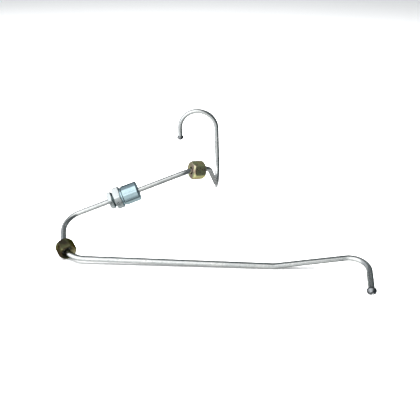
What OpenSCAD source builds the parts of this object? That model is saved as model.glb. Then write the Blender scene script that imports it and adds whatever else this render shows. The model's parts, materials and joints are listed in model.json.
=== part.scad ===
// Bent high-pressure fuel pipe with two loose union nuts and a screwed bulkhead gland.
// The pipe stands as it rests on a bench: +Z up, the bench at z = 0, the long run along +X.
// The origin is on the bench, below the middle of the pipe.

/* [Tube] */
// Outside diameter of the tube
tube_od = 6; // [5:0.1:6.4]
// Bore of the tube
tube_id = 2; // [1.4:0.1:3]
// Largest diameter of the formed head at each end
head_d = 9; // [8:0.1:10]
// Full angle of the sealing cone on each head
cone_angle = 90; // [80:1:100]

/* [Route] */
// Distance between the two legs of the hook
hook_w = 48.5; // [46:0.5:54]
// Height of the hook's outer corner above the bench
hook_h = 102; // [98:1:110]
// Height of the tip of end A above the bench
end_a_h = 55.5; // [48:0.5:62]
// Distance of the hook behind the middle of the pipe
hook_back = 124.9; // [118:0.1:132]
// Height of the crest's corner, where the run turns back to the hook
crest_h = 70.5; // [68:0.5:74]
// Length of the long run on the bench, corner to corner
run_l = 217.5; // [200:0.5:225]
// Distance of the long run in front of the middle of the pipe
run_front = 82.6; // [78:0.1:86]
// Centreline radius of the hook's bends
hook_r = 24; // [22:0.5:25]
// Centreline radius of the ordinary bends
bend_r = 20; // [18:0.5:20.5]
// Centreline radius of the crest bend
crest_r = 36; // [34:0.5:38]
// Centreline radius of the bend where the pipe comes down to the bench
bench_r = 28; // [26:0.5:29]

/* [Union nuts] */
// Width across flats of union nut A
nut_a_af = 19; // [18:0.5:21]
// Length of union nut A
nut_a_l = 15.5; // [14:0.5:17]
// Minor diameter of the thread in union nut A
nut_a_thread_d = 12.4; // [12.4:0.1:13]
// Width across flats of union nut B
nut_b_af = 17; // [16.5:0.5:17]
// Length of union nut B
nut_b_l = 13.5; // [12:0.5:14]
// Minor diameter of the thread in union nut B
nut_b_thread_d = 12.4; // [12:0.1:12.8]

/* [Gland] */
// Distance of the gland's collar from the left bend's corner, along the run
gland_at = 61; // [40:1:90]
// Width across flats of the gland body's collar
collar_af = 24; // [23:0.5:27]
// Thickness of the collar
collar_t = 8; // [7:0.5:9]
// Outside diameter of the barrel's thread
barrel_d = 22; // [20:0.5:22.5]
// Length of the barrel
barrel_l = 20; // [16:0.5:22]
// Bore of the barrel around the tube
barrel_bore = 8; // [7:0.1:9]
// Width across flats of the gland nut
gland_nut_af = 19; // [18.5:0.5:22]
// Thickness of the gland nut's hexagon
gland_nut_t = 5; // [4:0.5:6]
// Gap between the gland nut's hexagon and the collar
gland_gap = 1.9; // [1.6:0.1:2.4]

/* [Hidden] */
$fn = 96;

// ---- Route of the pipe, end A to end B ----

hook_x = 2.5;
hook_slope = 11.5;
hook_lean = 3.5;
hook_foot = -19;
crest_x = -4;
crest_back = 14.9;
left_x = -162.5;
left_front = 31.1;
left_h = 21.5;
run_x = -148.5;
run_h = 6.5;
elbow_r = 18;
elbow = [162, -78.1, 15.5];
end_b = [153.5, -129.1, 10];

// Corners of the centreline; each bend's arc is fitted inside its corner. The hook's foot is below the
// bench because it is a sharp corner: the bend inside it touches the bench.
corners = [
    [hook_x - hook_w, hook_back, end_a_h],
    [hook_x - hook_w, hook_back, hook_h],
    [hook_x, hook_back, hook_h - hook_slope],
    [hook_x + hook_lean, hook_back, hook_foot],
    [crest_x, crest_back, crest_h],
    [left_x, -left_front, left_h],
    [run_x, -run_front, run_h],
    [run_x + run_l, -run_front, tube_od / 2],
    elbow,
    end_b
];
radii = [0, hook_r, hook_r, bend_r, crest_r, bend_r, bench_r, bend_r, elbow_r, 0];
last = len(corners) - 1;
crest = 4;
left_bend = 5;
bench_bend = 6;

function unit(v) = v / norm(v);

// Direction of the straight that leaves corner i.
function leg_dir(i) = unit(corners[i + 1] - corners[i]);

// Angle that the centreline turns through at corner i.
function turn(i) = acos(leg_dir(i - 1) * leg_dir(i));

// Distance from corner i to where its arc starts or ends.
function setback(i) = radii[i] == 0 ? 0 : radii[i] * tan(turn(i) / 2);

function bend_start(i) = corners[i] - setback(i) * leg_dir(i - 1);
function bend_end(i) = i == 0 ? corners[0] : corners[i] + setback(i) * leg_dir(i);

// Rigid transform whose columns are three unit axes and an origin.
function placed(x, y, z, origin) = [
    [x.x, y.x, z.x, origin.x],
    [x.y, y.y, z.y, origin.y],
    [x.z, y.z, z.z, origin.z],
    [0, 0, 0, 1]
];

// Frame of bend i: origin at its centre, +X to where the arc starts, +Y the way the centreline runs there.
function bend_frame(i) =
    let (
        run = leg_dir(i - 1),
        inward = unit(leg_dir(i) - run),
        centre = corners[i] + inward * radii[i] / cos(turn(i) / 2),
        outward = unit(bend_start(i) - centre)
    )
    placed(outward, run, cross(outward, run), centre);

// Frame with its +Z along a direction that isn't vertical, and its +Y level.
function axis_frame(z, origin) =
    let (y = unit(cross([0, 0, 1], z)))
    placed(cross(y, z), y, z, origin);

// The hook's legs are nearly upright, so their frames take +Y as their level axis.
function upright_frame(z, origin) =
    let (x = unit(cross([0, 1, 0], z)))
    placed(x, cross(z, x), z, origin);

function frame_along(z, origin) = abs(z.z) > 0.9 ? upright_frame(z, origin) : axis_frame(z, origin);

// ---- The pipe ----

// The bends are drawn thinner and wider-bored than the straights by this much, and the straights run on
// into them by the lap, so that the two always meet in a clean step.
step = 0.02;
lap = 0.1;
head_l = 6;
head_lap = 1;
head_band = 2;
tip_d = 4.4;

module ring(outer_r, inner_r) {
    difference() {
        circle(r = outer_r);
        circle(r = inner_r);
    }
}

module straight(i) {
    from = bend_end(i);
    to = i + 1 == last ? corners[last] : bend_start(i + 1);
    start_lap = i == 0 ? head_lap - head_l : lap;
    end_lap = i + 1 == last ? head_lap - head_l : lap;
    multmatrix(frame_along(leg_dir(i), from))
        translate([0, 0, -start_lap])
            linear_extrude(height = norm(to - from) + start_lap + end_lap)
                ring(tube_od / 2, tube_id / 2);
}

module bend(i) {
    multmatrix(bend_frame(i))
        rotate_extrude(angle = turn(i))
            translate([radii[i], 0])
                ring(tube_od / 2 - step, tube_id / 2 + step);
}

// Formed head: a sealing cone, a short band and a back shoulder, all of one piece with the tube.
// Its tip is at the origin and the tube leaves it along -Z.
module head() {
    cone_l = (head_d - tip_d) / 2 / tan(cone_angle / 2);
    tip_round = 0.4;
    edge_round = 0.3;
    bore_r = tube_id / 2 + step;
    root_r = tube_od / 2 - 0.3;
    rotate_extrude()
        polygon([
            [bore_r + tip_round, 0],
            [tip_d / 2 - tip_round, 0],
            [tip_d / 2, -tip_round],
            [head_d / 2 - edge_round, edge_round - cone_l],
            [head_d / 2, -cone_l - edge_round],
            [head_d / 2, edge_round - cone_l - head_band],
            [head_d / 2 - edge_round, -cone_l - head_band],
            [root_r, -head_l],
            [bore_r, -head_l],
            [bore_r, -tip_round]
        ]);
}

module pipe() {
    color("gainsboro") {
        for (i = [0 : last - 1])
            straight(i);
        for (i = [1 : last - 1])
            bend(i);
        multmatrix(frame_along(-leg_dir(0), corners[0]))
            head();
        multmatrix(frame_along(leg_dir(last - 1), corners[last]))
            head();
    }
}

// ---- Union nuts and their thrust collars ----

// Puts a piece on bend i at an angle along its arc, shifted outwards and along the bend's axis, with its
// +Z along the tube and then turned by yaw about the bend's axis and by pitch towards that axis.
module on_bend(i, arc, shift = 0, drop = 0, yaw = 0, pitch = 0) {
    multmatrix(bend_frame(i))
        rotate([0, 0, arc])
            translate([radii[i] + shift, 0, drop])
                rotate([0, 0, -yaw])
                    rotate([pitch - 90, 0, 0])
                        children();
}

// Both nuts hang loose on the tube: nut A's mouth faces end A, nut B's mouth faces end B.
// Each arc is the angle from the start of its bend to the middle of the nut.
nut_a_arc = 52;
nut_b_arc = 21.5;

module on_crest() {
    on_bend(crest, nut_a_arc, drop = 0.8, yaw = 176, pitch = 8)
        children();
}

module on_bench_bend() {
    on_bend(bench_bend, nut_b_arc, shift = -0.8, drop = 0.7, yaw = 0.7, pitch = -1)
        children();
}

// Share of a hexagon's corner radius that is left once its sharp corners are rounded off.
corner_share = 0.985;

// Solid hexagon with its corners cut back to corner_d and each end chamfered down to face_d.
module chamfered_hexagon(af, l, face_d, end_cut) {
    corner_d = corner_share * af / cos(30);
    intersection() {
        translate([0, 0, -l / 2])
            cylinder(d = af / cos(30), h = l, $fn = 6);
        rotate_extrude()
            polygon([
                [0, -l / 2],
                [face_d / 2, -l / 2],
                [corner_d / 2, -l / 2 + end_cut],
                [corner_d / 2, l / 2 - end_cut],
                [face_d / 2, l / 2],
                [0, l / 2]
            ]);
    }
}

// Solid of revolution with rounded ends, which rounds off a hexagon when the two are intersected.
// Each end takes the share of the radius and of the length that its two numbers give.
module rounding(r, l, rear, mouth) {
    function end_points(share, end) = [
        for (k = [0 : 3])
            let (a = 30 * k)
            [r * (1 - share.x * (1 - sin(a))), end * l * (0.5 - share.y * (1 - cos(a)))]
    ];
    front = end_points(mouth, 1);
    rotate_extrude()
        polygon(concat(
            [[0, -l / 2]],
            end_points(rear, -1),
            [for (k = [3 : -1 : 0]) front[k]],
            [[0, l / 2]]
        ));
}

// Shares of the radius and of the length that the union nuts' end roundings take.
rear_share = [0.26, 0.2];
deep_share = [0.26, 0.2];
slight_share = [0.14, 0.06];

// Union nut: closed end at -Z with a plain hole, threaded mouth at +Z.
module union_nut(af, l, wall, hole_d, thread_d, mouth) {
    chamfer = 0.8;
    past = 1;
    corner_r = af / 2 / cos(30);
    difference() {
        intersection() {
            translate([0, 0, -l / 2])
                cylinder(r = corner_r, h = l, $fn = 6);
            rounding(corner_share * corner_r, l, rear_share, mouth);
        }
        translate([0, 0, -l / 2 - past])
            cylinder(d = hole_d, h = l);
        translate([0, 0, -l / 2 + wall])
            cylinder(d = thread_d, h = l);
        translate([0, 0, l / 2 - chamfer])
            cylinder(d1 = thread_d, d2 = thread_d + 4 * chamfer, h = 2 * chamfer);
    }
}

// Difference in diameter between a loose ring and the tube or socket that it moves in.
free_gap = 0.6;

// Thrust collar: a short sleeve behind the head that carries the nut's push.
module thrust_collar(d, l) {
    bore_d = tube_od + free_gap;
    edge = 0.4;
    rotate_extrude()
        polygon([
            [bore_d / 2, -l / 2],
            [d / 2 - edge, -l / 2],
            [d / 2, -l / 2 + edge],
            [d / 2, l / 2],
            [bore_d / 2 + edge, l / 2],
            [bore_d / 2, l / 2 - edge]
        ]);
}

nut_a_wall = 5;
nut_b_wall = 4;
nut_hole_d = 8.5;
thrust_collar_d = 9.2;
thrust_collar_l = 4;

module union_nut_a() {
    color("darkkhaki")
        on_crest()
            union_nut(nut_a_af, nut_a_l, nut_a_wall, nut_hole_d, nut_a_thread_d, deep_share);
}

module union_nut_b() {
    color("olive")
        on_bench_bend()
            union_nut(nut_b_af, nut_b_l, nut_b_wall, nut_hole_d, nut_b_thread_d, slight_share);
}

module thrust_collar_a() {
    color("silver")
        on_bend(crest, nut_a_arc - 2, yaw = 180)
            thrust_collar(thrust_collar_d, thrust_collar_l);
}

module thrust_collar_b() {
    color("silver")
        on_bend(bench_bend, nut_b_arc + 1)
            thrust_collar(thrust_collar_d, thrust_collar_l);
}

// ---- Bulkhead gland, on the straight between the crest and the left bend ----

run_dir = -leg_dir(crest);
socket_d = 16;
socket_depth = 14.1;
spigot_depth = 5;
fit_gap = 0.05;
washer_t = 1.5;
bush_l = 5.9;
bush_gap = 0.16;
gland_nut_bore_gap = 1;
face_share = 0.94;

// Frame of the gland: origin on the tube's axis at the collar's outer face, +Z towards the barrel.
module on_run() {
    multmatrix(axis_frame(run_dir, corners[left_bend] + gland_at * run_dir))
        children();
}

module gland_body() {
    past = 1;
    barrel_end = collar_t + barrel_l;
    collar_chamfer = 0.9;
    end_chamfer = 1.3;
    relief = 1.2;
    relief_l = 1.4;
    color("lightsteelblue")
        on_run()
            difference() {
                union() {
                    translate([0, 0, collar_t / 2])
                        chamfered_hexagon(collar_af, collar_t, face_share * collar_af, collar_chamfer);
                    rotate_extrude()
                        polygon([
                            [0, collar_t / 2],
                            [barrel_d / 2 - relief, collar_t / 2],
                            [barrel_d / 2 - relief, collar_t + relief_l],
                            [barrel_d / 2, collar_t + relief_l + relief],
                            [barrel_d / 2, barrel_end - end_chamfer],
                            [barrel_d / 2 - end_chamfer, barrel_end],
                            [0, barrel_end]
                        ]);
                }
                translate([0, 0, -past])
                    cylinder(d = barrel_bore, h = barrel_end + 2 * past);
                translate([0, 0, -past])
                    cylinder(d = socket_d, h = socket_depth + past);
            }
}

module gland_nut() {
    past = 1;
    hexagon_chamfer = 0.8;
    spigot_gap = 0.16;
    face_d = face_share * gland_nut_af;
    whole_l = gland_gap + gland_nut_t + spigot_depth;
    color("whitesmoke")
        on_run()
            difference() {
                union() {
                    translate([0, 0, -gland_gap - gland_nut_t / 2])
                        chamfered_hexagon(gland_nut_af, gland_nut_t, face_d, hexagon_chamfer);
                    translate([0, 0, -gland_gap - gland_nut_t / 2])
                        cylinder(d = socket_d - spigot_gap, h = gland_gap + gland_nut_t / 2 + spigot_depth);
                }
                translate([0, 0, -gland_gap - gland_nut_t - past])
                    cylinder(d = tube_od + gland_nut_bore_gap, h = whole_l + 2 * past);
            }
}

// Flat ring with a plain bore, standing on z = 0.
module plain_ring(outer_d, inner_d, t) {
    linear_extrude(height = t)
        ring(outer_d / 2, inner_d / 2);
}

module gland_washer() {
    color("silver")
        on_run()
            translate([0, 0, spigot_depth + fit_gap])
                plain_ring(socket_d - free_gap, tube_od + free_gap, washer_t);
}

module sealing_bush() {
    color("dimgray")
        on_run()
            translate([0, 0, socket_depth - fit_gap - bush_l])
                plain_ring(socket_d - free_gap, tube_od + bush_gap, bush_l);
}

pipe();
union_nut_a();
thrust_collar_a();
union_nut_b();
thrust_collar_b();
gland_body();
gland_nut();
gland_washer();
sealing_bush();
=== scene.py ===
import json
import math

import bpy
from mathutils import Matrix, Vector


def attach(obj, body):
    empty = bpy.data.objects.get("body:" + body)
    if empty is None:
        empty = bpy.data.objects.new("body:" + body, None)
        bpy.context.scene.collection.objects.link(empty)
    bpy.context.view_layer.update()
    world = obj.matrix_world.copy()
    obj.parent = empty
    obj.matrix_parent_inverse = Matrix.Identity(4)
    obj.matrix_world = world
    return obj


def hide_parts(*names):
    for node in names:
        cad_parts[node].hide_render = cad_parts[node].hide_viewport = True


MM = 0.001

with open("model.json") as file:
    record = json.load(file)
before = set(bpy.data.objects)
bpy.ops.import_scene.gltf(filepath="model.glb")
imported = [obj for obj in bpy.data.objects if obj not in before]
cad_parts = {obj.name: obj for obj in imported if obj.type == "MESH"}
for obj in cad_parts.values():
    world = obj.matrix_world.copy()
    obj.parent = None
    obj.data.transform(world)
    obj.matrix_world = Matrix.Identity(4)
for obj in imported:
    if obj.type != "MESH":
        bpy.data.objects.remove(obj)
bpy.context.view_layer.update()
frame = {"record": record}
joints = {joint["name"]: joint for joint in frame["record"]["behaviour"]["joints"]}


# ---- Camera, floor and light ----

CAMERA_AT = Vector((18.5, -449.1, 285.0)) * MM
CAMERA_YAW = math.radians(2.41)
CAMERA_PITCH = math.radians(30.66)
SENSOR_MM = 36.0
LENS_MM = 38.44

# The floor lies this far under the object, so that the two surfaces never coincide.
FLOOR_GAP = 0.2 * MM


def make_camera():
    data = bpy.data.cameras.new("camera")
    data.sensor_fit = "HORIZONTAL"
    data.sensor_width = SENSOR_MM
    data.lens = LENS_MM
    data.clip_start = 0.01
    data.clip_end = 20.0
    camera = bpy.data.objects.new("camera", data)
    bpy.context.scene.collection.objects.link(camera)
    camera.location = CAMERA_AT
    camera.rotation_euler = (math.pi / 2 - CAMERA_PITCH, 0.0, CAMERA_YAW)
    bpy.context.scene.camera = camera


def make_floor():
    """A white sheet; reflections in the metal see the studio around it instead."""
    half = 6.0
    corners = [(-half, -half, 0), (half, -half, 0), (half, half, 0), (-half, half, 0)]
    mesh = bpy.data.meshes.new("floor")
    mesh.from_pydata(corners, [], [(0, 1, 2, 3)])
    floor = bpy.data.objects.new("floor", mesh)
    bpy.context.scene.collection.objects.link(floor)
    floor.location.z = -FLOOR_GAP
    floor.visible_glossy = False
    paint = Paint("floor_paper")
    grain = paint.noise(scale=60.0, detail=3.0)
    paint.colour(paint.ramp(grain, [(0.3, (0.90, 0.90, 0.90)), (0.7, (0.92, 0.92, 0.92))]))
    paint.set("Roughness", 0.9)
    mesh.materials.append(paint.material)


# Each light of the studio: the direction it is in, the cosines where it fades in, and its radiance.
# The last one is a dark spot at the edge of the first: its radiance is taken away.
STUDIO = [
    ((-0.45, -0.62, 0.65), 0.68, 0.88, (1.25, 1.25, 1.25)),
    ((-0.50, -0.80, -0.25), 0.45, 0.80, (0.80, 0.81, 0.81)),
    ((-0.95, 0.00, 0.30), 0.45, 0.95, (0.48, 0.49, 0.52)),
    ((0.00, 0.40, 0.90), 0.40, 0.90, (0.09, 0.09, 0.09)),
    ((0.00, 0.45, -0.90), 0.40, 0.85, (0.60, 0.59, 0.57)),
    ((0.02, -0.79, 0.61), 0.970, 0.998, (-0.30, -0.30, -0.30)),
]
STUDIO_DARK = (0.09, 0.105, 0.11)


def make_ceiling():
    """A broad soft light overhead that whitens the floor; the metal doesn't reflect it."""
    data = bpy.data.lights.new("ceiling", "AREA")
    data.shape = "DISK"
    data.size = 1.6
    data.energy = 95.0
    ceiling = bpy.data.objects.new("ceiling", data)
    bpy.context.scene.collection.objects.link(ceiling)
    ceiling.location = (-0.25, -0.15, 1.5)
    ceiling.visible_glossy = False


def make_world():
    """The studio that the metal reflects: soft lights, most of them at the front left, on a dark ground."""
    world = bpy.data.worlds.new("studio")
    bpy.context.scene.world = world
    world.use_nodes = True
    nodes, links = world.node_tree.nodes, world.node_tree.links
    direction = nodes.new("ShaderNodeTexCoord").outputs["Generated"]
    total = nodes.new("ShaderNodeRGB").outputs[0]
    total.default_value = (*STUDIO_DARK, 1)
    for towards, fade_from, fade_to, radiance in STUDIO:
        dot = nodes.new("ShaderNodeVectorMath")
        dot.operation = "DOT_PRODUCT"
        dot.inputs[1].default_value = Vector(towards).normalized()
        links.new(direction, dot.inputs[0])
        fade = nodes.new("ShaderNodeMapRange")
        fade.interpolation_type = "SMOOTHSTEP"
        fade.inputs["From Min"].default_value = fade_from
        fade.inputs["From Max"].default_value = fade_to
        links.new(dot.outputs["Value"], fade.inputs["Value"])
        light = nodes.new("ShaderNodeVectorMath")
        light.operation = "SCALE"
        light.inputs[0].default_value = radiance
        links.new(fade.outputs["Result"], light.inputs["Scale"])
        add = nodes.new("ShaderNodeVectorMath")
        add.operation = "ADD"
        links.new(total, add.inputs[0])
        links.new(light.outputs["Vector"], add.inputs[1])
        total = add.outputs["Vector"]
    links.new(total, nodes["Background"].inputs["Color"])


# ---- Materials ----

# The band that most of a noise texture's values fall in.
NOISE_LOW = 0.3
NOISE_HIGH = 0.7


class Paint:
    """A Principled material with short calls for the textures that shape it."""

    def __init__(self, name):
        self.material = bpy.data.materials.new(name)
        self.material.use_nodes = True
        self.nodes = self.material.node_tree.nodes
        self.links = self.material.node_tree.links
        self.shader = self.nodes["Principled BSDF"]
        self.place = self.nodes.new("ShaderNodeTexCoord").outputs["Object"]

    def set(self, socket, value):
        self.shader.inputs[socket].default_value = value

    def along(self, length, around):
        """Coordinates along and around a swept piece, so that a texture follows it round its bends."""
        mapping = self.nodes.new("ShaderNodeMapping")
        mapping.inputs["Scale"].default_value = (length, around, 1.0)
        uv = self.nodes.new("ShaderNodeTexCoord").outputs["UV"]
        self.links.new(uv, mapping.inputs["Vector"])
        return mapping.outputs["Vector"]

    def noise(self, scale, detail, vector=None):
        node = self.nodes.new("ShaderNodeTexNoise")
        node.inputs["Scale"].default_value = scale
        node.inputs["Detail"].default_value = detail
        self.links.new(vector or self.place, node.inputs["Vector"])
        return node.outputs["Fac"]

    def ramp(self, value, stops):
        node = self.nodes.new("ShaderNodeValToRGB")
        elements = node.color_ramp.elements
        while len(elements) < len(stops):
            elements.new(0.5)
        for element, (at, colour) in zip(elements, stops):
            element.position = at
            element.color = (*colour, 1)
        self.links.new(value, node.inputs[0])
        return node.outputs["Color"]

    def multiply(self, share, base, tint):
        """The base colour multiplied by a share of the tint."""
        node = self.nodes.new("ShaderNodeMix")
        node.data_type = "RGBA"
        node.blend_type = "MULTIPLY"
        node.inputs[0].default_value = share
        self.links.new(base, node.inputs[6])
        self.links.new(tint, node.inputs[7])
        return node.outputs[2]

    def range(self, value, low, high):
        node = self.nodes.new("ShaderNodeMapRange")
        node.inputs["From Min"].default_value = NOISE_LOW
        node.inputs["From Max"].default_value = NOISE_HIGH
        node.inputs["To Min"].default_value = low
        node.inputs["To Max"].default_value = high
        self.links.new(value, node.inputs["Value"])
        return node.outputs["Result"]

    def colour(self, value):
        self.links.new(value, self.shader.inputs["Base Color"])

    def roughness(self, value):
        self.links.new(value, self.shader.inputs["Roughness"])

    def bump(self, value, depth, strength):
        node = self.nodes.new("ShaderNodeBump")
        node.inputs["Distance"].default_value = depth
        node.inputs["Strength"].default_value = strength
        self.links.new(value, node.inputs["Height"])
        self.links.new(node.outputs["Normal"], self.shader.inputs["Normal"])

    def metal(self, edge):
        self.set("Metallic", 1.0)
        # The edge tint makes the metal's reflection darker at grazing angles, so each piece darkens towards its
        # outline: painted shade.
        self.set("Specular Tint", (*edge, 1))


def plated_tube():
    """Bright zinc over drawn tube: cloudy grey-white, with fine lines along it and small dull spots."""
    paint = Paint("plated_tube")
    # The tube's dark edge tint is painted shade along its outline.
    paint.metal(edge=(0.42, 0.43, 0.44))
    clouds = paint.noise(scale=45.0, detail=4.0)
    spots = paint.noise(scale=420.0, detail=3.0)
    lines = paint.noise(scale=1.0, detail=3.0, vector=paint.along(length=9.0, around=26.0))
    greys = [(0.30, (0.66, 0.68, 0.68)), (0.55, (0.76, 0.77, 0.76)), (0.75, (0.84, 0.84, 0.82))]
    base = paint.ramp(clouds, greys)
    speck = paint.ramp(spots, [(0.32, (0.80, 0.80, 0.80)), (0.45, (1.0, 1.0, 1.0))])
    streak = paint.ramp(lines, [(0.35, (0.80, 0.82, 0.82)), (0.55, (1.0, 1.0, 1.0))])
    base = paint.multiply(1.0, base, speck)
    paint.colour(paint.multiply(0.8, base, streak))
    paint.roughness(paint.range(lines, 0.16, 0.30))
    paint.bump(lines, 0.00005, 0.5)
    return paint.material


def chromate(name, dark, middle, light, edge):
    """Yellow chromate over zinc: patches of green, gold and purple-brown that follow the bath."""
    paint = Paint(name)
    paint.metal(edge=edge)
    patches = paint.noise(scale=75.0, detail=3.0)
    film = paint.noise(scale=190.0, detail=2.0)
    base = paint.ramp(patches, [(0.34, dark), (0.50, middle), (0.66, light)])
    tint = paint.ramp(film, [(0.35, (0.80, 0.62, 0.66)), (0.50, (1.0, 1.0, 0.96)), (0.66, (0.82, 1.0, 0.80))])
    paint.colour(paint.multiply(0.75, base, tint))
    paint.roughness(paint.range(film, 0.24, 0.42))
    grain = paint.noise(scale=900.0, detail=3.0)
    paint.bump(grain, 0.00006, 0.5)
    return paint.material


def blue_zinc(name, low, high):
    """Blue-white zinc on turned steel: clean, with a faint teal cast and tool marks."""
    paint = Paint(name)
    paint.metal(edge=(0.38, 0.45, 0.48))
    clouds = paint.noise(scale=60.0, detail=3.0)
    marks = paint.noise(scale=700.0, detail=2.0)
    base = paint.ramp(clouds, [(0.30, low), (0.70, high)])
    cast = paint.ramp(marks, [(0.35, (0.90, 0.93, 0.95)), (0.65, (1.0, 1.0, 1.0))])
    paint.colour(paint.multiply(1.0, base, cast))
    paint.roughness(paint.range(marks, 0.09, 0.18))
    paint.bump(marks, 0.00002, 0.3)
    return paint.material


def turned_steel():
    paint = Paint("turned_steel")
    paint.metal(edge=(0.35, 0.35, 0.35))
    stain = paint.noise(scale=150.0, detail=3.0)
    paint.colour(paint.ramp(stain, [(0.3, (0.34, 0.33, 0.31)), (0.7, (0.52, 0.52, 0.50))]))
    paint.roughness(paint.range(stain, 0.30, 0.48))
    return paint.material


def formed_steel():
    """The upset heads, in a darker grey than the tube."""
    paint = Paint("formed_steel")
    paint.metal(edge=(0.12, 0.12, 0.13))
    wear = paint.noise(scale=500.0, detail=3.0)
    paint.colour(paint.ramp(wear, [(0.3, (0.18, 0.19, 0.20)), (0.7, (0.32, 0.33, 0.34))]))
    paint.roughness(paint.range(wear, 0.14, 0.30))
    return paint.material


def black_rubber():
    paint = Paint("black_rubber")
    grime = paint.noise(scale=300.0, detail=4.0)
    paint.colour(paint.ramp(grime, [(0.3, (0.012, 0.012, 0.012)), (0.7, (0.035, 0.035, 0.034))]))
    paint.roughness(paint.range(grime, 0.55, 0.80))
    paint.bump(grime, 0.00005, 0.5)
    return paint.material


def finish_node(node, material):
    """Gives a carried-over CAD node its finish."""
    thing = bpy.data.objects[node]
    thing.data.materials.clear()
    thing.data.materials.append(material)


# ---- Meshes ----

# Edges that turn by more than this are sharp.
SHARP_ANGLE = math.radians(24)


def axes_matrix(x, z, origin):
    """Rigid transform from its local X and Z axes and its origin."""
    y = z.cross(x)
    columns = Matrix((x, y, z)).transposed().to_4x4()
    return Matrix.Translation(origin) @ columns


def around_axis(place, radius, angle, height):
    """The point at a radius, angle and height on a piece whose own axis is its Z, in millimetres."""
    return place @ (Vector((radius * math.cos(angle), radius * math.sin(angle), height)) * MM)


def skin(name, rings, material, uvs=None):
    """A closed mesh of quads through rings of equal length: each ring wraps, and the last joins the first."""
    count = len(rings[0])
    vertices = [point for ring in rings for point in ring]
    faces, corner_uvs = [], []
    for row in range(len(rings)):
        here = row * count
        below = (row + 1) % len(rings) * count
        for step in range(count):
            after = (step + 1) % count
            faces.append((here + step, here + after, below + after, below + step))
            if uvs:
                corner_uvs += [uvs(row, step), uvs(row, step + 1), uvs(row + 1, step + 1), uvs(row + 1, step)]
    mesh = bpy.data.meshes.new(name)
    mesh.from_pydata(vertices, [], faces)
    if uvs:
        layer = mesh.uv_layers.new(name="UVMap")
        for corner, uv in zip(layer.data, corner_uvs):
            corner.uv = uv
    mesh.shade_smooth()
    mesh.set_sharp_from_angle(angle=SHARP_ANGLE)
    mesh.materials.append(material)
    thing = bpy.data.objects.new(name, mesh)
    bpy.context.scene.collection.objects.link(thing)
    return thing


def soften(thing, width):
    """Breaks every sharp edge by a small round bevel and keeps the result as the piece's own mesh."""
    bevel = thing.modifiers.new("edge", "BEVEL")
    bevel.width = width
    bevel.segments = 2
    bevel.limit_method = "ANGLE"
    bevel.angle_limit = SHARP_ANGLE
    bevel.harden_normals = True
    graph = bpy.context.evaluated_depsgraph_get()
    thing.data = bpy.data.meshes.new_from_object(thing.evaluated_get(graph))
    thing.modifiers.clear()


def stand_for(thing, body, node):
    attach(thing, body)
    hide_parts(node)


# Route of the pipe's centreline, end A to end B, in millimetres: corners, and the radius of the bend at each.
ROUTE = [
    ((-46.0, 124.9, 55.5), 0.0),
    ((-46.0, 124.9, 102.0), 24.0),
    ((2.5, 124.9, 90.5), 24.0),
    ((6.0, 124.9, -19.0), 20.0),
    ((-4.0, 14.9, 70.5), 36.0),
    ((-162.5, -31.1, 21.5), 20.0),
    ((-148.5, -82.6, 6.5), 28.0),
    ((69.0, -82.6, 3.0), 20.0),
    ((162.0, -78.1, 15.5), 18.0),
    ((153.5, -129.1, 10.0), 0.0),
]

# The swept tube is drawn a hair thinner than 6 mm, so that it stays inside the CAD model's box.
SWEEP_R = 2.95
BORE_R = 1.0

# Outline of a formed head, as distance back from its tip and radius.
HEAD = [
    (0.0, 1.75), (0.12, 1.95), (0.4, 2.2), (1.2, 3.1), (2.1, 4.0), (2.35, 4.25), (2.6, 4.4), (2.9, 4.47),
    (3.8, 4.47), (4.1, 4.42), (4.35, 4.3), (4.9, 3.8), (5.4, 3.35), (5.8, 3.03), (6.2, SWEEP_R),
]
BEND_STEP = math.radians(3.0)

# Length of tube for one unit of its texture coordinate.
UV_LENGTH = 100.0


def route_stations():
    """Points along the centreline, each with its direction and a side vector that never twists."""
    corners = [Vector(point) for point, _ in ROUTE]
    legs = [(b - a).normalized() for a, b in zip(corners, corners[1:])]
    side = legs[0].cross(Vector((0, 1, 0))).normalized()
    stations = [(corners[0], legs[0], side.copy())]
    for index in range(1, len(corners) - 1):
        before, after = legs[index - 1], legs[index]
        radius = ROUTE[index][1]
        turn = before.angle(after)
        axis = before.cross(after).normalized()
        start = corners[index] - before * radius * math.tan(turn / 2)
        centre = start + axis.cross(before) * radius
        steps = max(2, math.ceil(turn / BEND_STEP))
        for step in range(steps + 1):
            swing = Matrix.Rotation(turn * step / steps, 3, axis)
            stations.append((centre + swing @ (start - centre), swing @ before, swing @ side))
        side = Matrix.Rotation(turn, 3, axis) @ side
    stations.append((corners[-1], legs[-1], side))
    return stations


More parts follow.
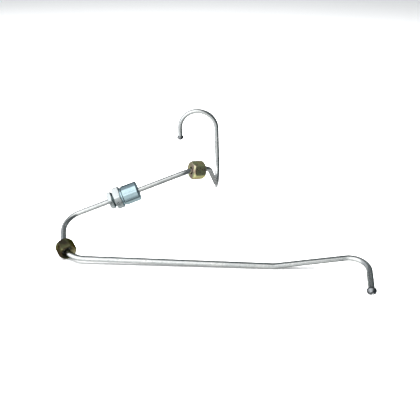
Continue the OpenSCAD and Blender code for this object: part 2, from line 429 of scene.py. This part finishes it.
def make_pipe(tube_finish, head_finish):
    """The tube, swept round its bends with its bore, and a formed head at each end."""
    around = 48
    stations = route_stations()
    first, last = stations[0], stations[-1]
    outline = [(first[0] + first[1] * back, first[1], first[2], r) for back, r in HEAD]
    outline += [(*station, SWEEP_R) for station in stations[1:-1]]
    outline += [(last[0] - last[1] * back, last[1], last[2], r) for back, r in reversed(HEAD)]
    bore = [(*station, BORE_R) for station in reversed(stations)]
    lead_in = 0.4
    bore.insert(0, (last[0], last[1], last[2], BORE_R + lead_in))
    bore[1] = (last[0] - last[1] * lead_in, last[1], last[2], BORE_R)
    bore[-1] = (first[0] + first[1] * lead_in, first[1], first[2], BORE_R)
    bore.append((first[0], first[1], first[2], BORE_R + lead_in))
    loop = outline + bore
    rings, travelled, lengths = [], 0.0, []
    for row, (centre, direction, side, radius) in enumerate(loop):
        travelled += (centre - loop[row - 1][0]).length if row else 0.0
        lengths.append(travelled)
        other = direction.cross(side)
        angles = [2 * math.pi * step / around for step in range(around)]
        rings.append([(centre + (side * math.cos(a) + other * math.sin(a)) * radius) * MM for a in angles])
    lengths.append(travelled)

    def uvs(row, step):
        return lengths[row] / UV_LENGTH, step / around

    thing = skin("pipe_skin", rings, tube_finish, uvs)
    thing.data.materials.append(head_finish)
    last_head = len(outline) - len(HEAD)
    for face in thing.data.polygons:
        row = face.index // around
        if row < len(HEAD) - 2 or last_head < row < len(outline):
            face.material_index = 1
    stand_for(thing, "pipe", "pipe")


# A hexagon's corners are cut round at this share of their radius.
# The round face at each of its ends is this share of its width across flats.
CORNER_SHARE = 0.985
FACE_SHARE = 0.94
ROUNDING_STEPS = 7

# A union nut's rear hole, the crests of its thread, and the rounding behind as shares of radius and length.
HOLE_R = 4.25
THREAD_R = 6.2
REAR_SHARE = (0.26, 0.2)


def hexagon_radius(af, angle):
    """Distance from the axis to a hexagon's side; its corners are at 0, 60, 120 degrees and so on."""
    return af / 2 / math.cos((angle % (math.pi / 3)) - math.pi / 6)


def rounded_end(hexagon, corner, length, share):
    """Rounding from the end face out to a hexagon's side, at one angle, as (radius, depth below the end)."""
    radial, axial = share
    hexagon = min(hexagon, corner)
    stop = math.asin(1 - (1 - hexagon / corner) / radial)
    out = []
    for step in range(ROUNDING_STEPS):
        a = stop * step / (ROUNDING_STEPS - 1)
        out.append((corner * (1 - radial * (1 - math.sin(a))), length * axial * (1 - math.cos(a))))
    return out


HEX_STEPS = [math.radians(60 * side + part) for side in range(6) for part in
             (0, 2.5, 5, 7.5, 10, 15, 20, 25, 30, 35, 40, 45, 50, 52.5, 55, 57.5)]


def union_nut(name, af, length, wall, mouth_share, place, material):
    """A hexagon nut rounded at both ends, with a plain hole behind and a screw thread inside its mouth."""
    corner = CORNER_SHARE * af / 2 / math.cos(math.pi / 6)
    pitch = 1.5
    depth = 0.75
    lead_in = 0.8
    chamfer = 0.3
    rows_per_turn = 6
    run_out = 3
    thread_l = length - wall - lead_in
    thread_rows = int(thread_l / (pitch / rows_per_turn))
    columns = []
    for angle in HEX_STEPS:
        flat = hexagon_radius(af, angle)
        rear = rounded_end(flat, corner, length, REAR_SHARE)
        front = rounded_end(flat, corner, length, mouth_share)
        column = [(HOLE_R + chamfer, -length / 2)]
        column += [(r, -length / 2 + z) for r, z in rear]
        column += [(r, length / 2 - z) for r, z in reversed(front)]
        column += [(THREAD_R + 2 * lead_in, length / 2)]
        for row in range(thread_rows + 1):
            z = length / 2 - lead_in - thread_l * row / thread_rows
            wave = 0.5 - 0.5 * math.cos(2 * math.pi * z / pitch - angle)
            ends = min(row, thread_rows - row, run_out) / run_out
            column.append((THREAD_R + depth * wave * ends, z))
        column += [(HOLE_R, -length / 2 + wall), (HOLE_R, -length / 2 + chamfer)]
        columns.append([around_axis(place, r, angle, z) for r, z in column])
    rings = [list(ring) for ring in zip(*columns)]
    return skin(name, rings, material)


def hexagon_ring(name, af, cut, low, high, bore_r, place, material):
    """A hexagon with both ends chamfered and a round hole through it."""
    corner = CORNER_SHARE * af / 2 / math.cos(math.pi / 6)
    face = FACE_SHARE * af / 2
    slope = cut / (corner - face)
    columns = []
    for angle in HEX_STEPS:
        flat = min(hexagon_radius(af, angle), corner)
        drop = max(flat - face, 0.0) * slope
        column = [(bore_r, low), (face, low), (flat, low + drop)]
        column += [(flat, high - drop), (face, high), (bore_r, high)]
        columns.append([around_axis(place, r, angle, z) for r, z in column])
    rings = [list(ring) for ring in zip(*columns)]
    return skin(name, rings, material)


def turned(name, outline, place, material):
    """A turned piece from its closed outline of (radius, height)."""
    around = 96
    angles = [2 * math.pi * step / around for step in range(around)]
    rings = [[around_axis(place, r, angle, z) for angle in angles] for r, z in outline]
    return skin(name, rings, material)


def nut_place(letter):
    """Where a union nut sits: on its spin axis, with a hexagon corner in the plane of its bend."""
    spin, travel = joints[f"nut_{letter}_spin"], joints[f"nut_{letter}_travel"]
    axis = Vector(spin["axis"]).normalized()
    level = Vector(travel["axis"]).cross(axis).normalized()
    return axes_matrix(level, axis, Vector(spin["pos_m"]))


def gland_place():
    spin = joints["gland_body_spin"]
    axis = Vector(spin["axis"]).normalized()
    level = Vector((0, 0, 1)).cross(axis).normalized()
    return axes_matrix(level.cross(axis), axis, Vector(spin["pos_m"]))


def make_union_nuts(finish_a, finish_b):
    nut_a = union_nut(
        "nut_a", af=19.0, length=15.5, wall=5.0, mouth_share=REAR_SHARE,
        place=nut_place("a"), material=finish_a
    )
    soften(nut_a, 0.35 * MM)
    stand_for(nut_a, "nut_a", "union_nut_a")
    nut_b = union_nut(
        "nut_b", af=17.0, length=13.5, wall=4.0, mouth_share=(0.14, 0.06),
        place=nut_place("b"), material=finish_b
    )
    soften(nut_b, 0.30 * MM)
    stand_for(nut_b, "nut_b", "union_nut_b")


def make_gland_body(place, barrel_shaded_finish, hexagon_finish):
    """The hexagon collar and the round barrel, with a groove between them.

    Heights are from the collar's face that the gland nut screws into.
    """
    collar_l = 8.0
    socket_r = 8.0
    collar = hexagon_ring(
        "gland_collar", af=24.0, cut=0.9, low=0.0, high=collar_l, bore_r=socket_r, place=place,
        material=hexagon_finish
    )
    soften(collar, 0.3 * MM)
    stand_for(collar, "gland_body", "gland_body")
    lining_r = 8.05
    lining_low = 0.4
    step_at = 14.1
    bore_r = 4.0
    barrel_r = 11.0
    root_r = 9.8
    end = 28.0
    outline = [
        (lining_r, lining_low), (lining_r, step_at), (bore_r, step_at), (bore_r, end - 0.3), (bore_r + 0.3, end),
        (barrel_r - 1.3, end), (barrel_r - 0.9, end - 0.15), (barrel_r, end - 1.3), (barrel_r, 10.6),
        (root_r, 9.4), (root_r, collar_l - 0.2), (8.6, collar_l - 0.2), (8.6, lining_low),
    ]
    barrel = turned("gland_barrel", outline, place, barrel_shaded_finish)
    soften(barrel, 0.2 * MM)
    stand_for(barrel, "gland_body", "gland_body")


def make_gland_nut(place, hexagon_finish, spigot_painted_shade):
    """The gland nut's thin hexagon, and the spigot that screws into the body."""
    low = -6.9
    high = -1.9
    head = hexagon_ring(
        "gland_nut_head", af=19.0, cut=0.8, low=low, high=high, bore_r=3.5, place=place,
        material=hexagon_finish
    )
    soften(head, 0.3 * MM)
    stand_for(head, "gland_nut", "gland_nut")
    bore_r = 3.55
    spigot_r = 7.92
    root = high - 0.5
    tip = 5.0
    outline = [(bore_r, root), (spigot_r, root), (spigot_r, tip - 0.3), (spigot_r - 0.32, tip), (bore_r, tip)]
    # The spigot is drawn near-black: painted shade in the gap.
    spigot = turned("gland_nut_spigot", outline, place, spigot_painted_shade)
    stand_for(spigot, "gland_nut", "gland_nut")


# ---- The scene ----

bpy.context.scene.view_settings.view_transform = "Standard"
make_camera()
make_floor()
make_world()
make_ceiling()

TUBE = plated_tube()
CHROMATE_A = chromate(
    "chromate_gold", dark=(0.56, 0.44, 0.38), middle=(0.80, 0.78, 0.46), light=(0.95, 0.88, 0.50),
    edge=(0.60, 0.55, 0.38)
)
CHROMATE_B = chromate(
    "chromate_olive", dark=(0.12, 0.10, 0.07), middle=(0.24, 0.23, 0.12), light=(0.38, 0.36, 0.20),
    edge=(0.30, 0.28, 0.20)
)
# The barrel's copy of the blue zinc is darker and more teal than the hexagons' copy of the same plating; its
# darker tone is painted shade.
BARREL_ZINC_SHADED = blue_zinc("blue_zinc_barrel_shaded", (0.52, 0.68, 0.73), (0.64, 0.80, 0.85))
HEXAGON_ZINC = blue_zinc("blue_zinc_hexagon", (0.66, 0.70, 0.70), (0.80, 0.83, 0.82))
# The spigot's near-black copy of the blue zinc is painted shade: the deep, narrow gap between the gland nut's
# hexagon and the body.
SPIGOT_PAINTED_SHADE = blue_zinc("blue_zinc_painted_shade", (0.07, 0.10, 0.10), (0.12, 0.15, 0.15))
STEEL = turned_steel()
RUBBER = black_rubber()

make_pipe(TUBE, formed_steel())
make_union_nuts(CHROMATE_A, CHROMATE_B)
make_gland_body(gland_place(), BARREL_ZINC_SHADED, HEXAGON_ZINC)
make_gland_nut(gland_place(), HEXAGON_ZINC, SPIGOT_PAINTED_SHADE)
for node in ("thrust_collar_a", "thrust_collar_b", "gland_washer"):
    finish_node(node, STEEL)
finish_node("sealing_bush", RUBBER)
